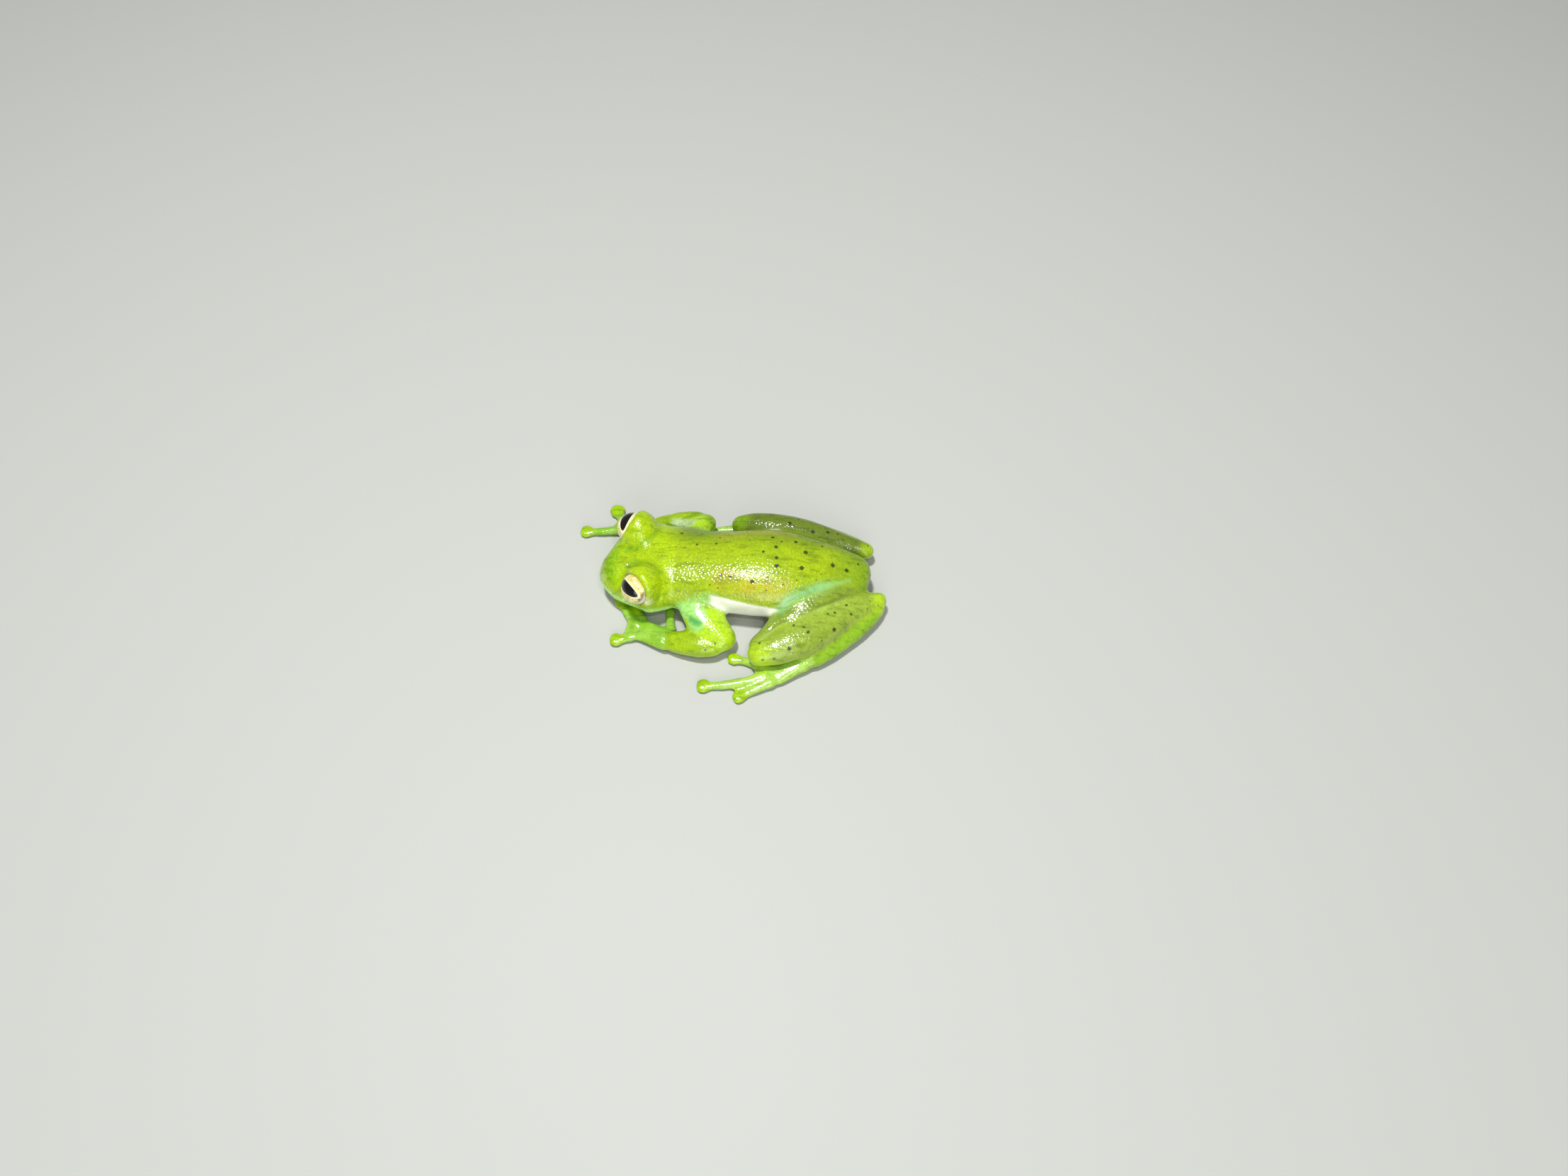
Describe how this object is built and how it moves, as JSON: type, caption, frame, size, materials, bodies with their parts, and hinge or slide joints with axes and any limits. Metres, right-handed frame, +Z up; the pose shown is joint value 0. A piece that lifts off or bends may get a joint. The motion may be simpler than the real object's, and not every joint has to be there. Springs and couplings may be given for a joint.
{
  "type": "glass frog",
  "caption": "Granular glass frog at life size, resting flat with its head turned left, limbs folded and toe pads spread.",
  "frame": {"origin": "point of the floor under the middle of the flat belly", "axes": "+Z up, -Y the way the body faces, +X the frog's own left"},
  "size_m": [0.0228, 0.0319, 0.0063],
  "materials": {
    "skin_back": "moist granular skin, yellow-green with small dark spots",
    "skin_belly": "moist smooth skin, pale green",
    "skin_arm": "moist skin, yellow-green, thin and bluish at the armpit",
    "skin_leg": "moist skin, olive green with small dark spots",
    "skin_hand": "moist thin skin, pale green with yellow pads",
    "eye": "wet gloss, gold iris with a black level pupil"
  },
  "bodies": {
    "root": {"torso": "skin_back", "head": "skin_back", "lower_jaw": "skin_belly", "eye_left": "eye", "eye_right": "eye", "upper_arm_left": "skin_arm", "forearm_left": "skin_arm", "hand_left": "skin_hand", "finger_left_1": "skin_hand", "finger_left_2": "skin_hand", "finger_left_3": "skin_hand", "finger_left_4": "skin_hand", "upper_arm_right": "skin_arm", "forearm_right": "skin_arm", "hand_right": "skin_hand", "finger_right_1": "skin_hand", "finger_right_2": "skin_hand", "finger_right_3": "skin_hand", "finger_right_4": "skin_hand", "thigh_left": "skin_leg", "shank_left": "skin_leg", "tarsus_left": "skin_leg", "foot_left": "skin_hand", "toe_left_1": "skin_hand", "toe_left_2": "skin_hand", "toe_left_3": "skin_hand", "toe_left_4": "skin_hand", "toe_left_5": "skin_hand", "thigh_right": "skin_leg", "shank_right": "skin_leg", "tarsus_right": "skin_leg", "foot_right": "skin_hand", "toe_right_1": "skin_hand", "toe_right_2": "skin_hand", "toe_right_3": "skin_hand", "toe_right_4": "skin_hand", "toe_right_5": "skin_hand"}
  },
  "joints": []
}
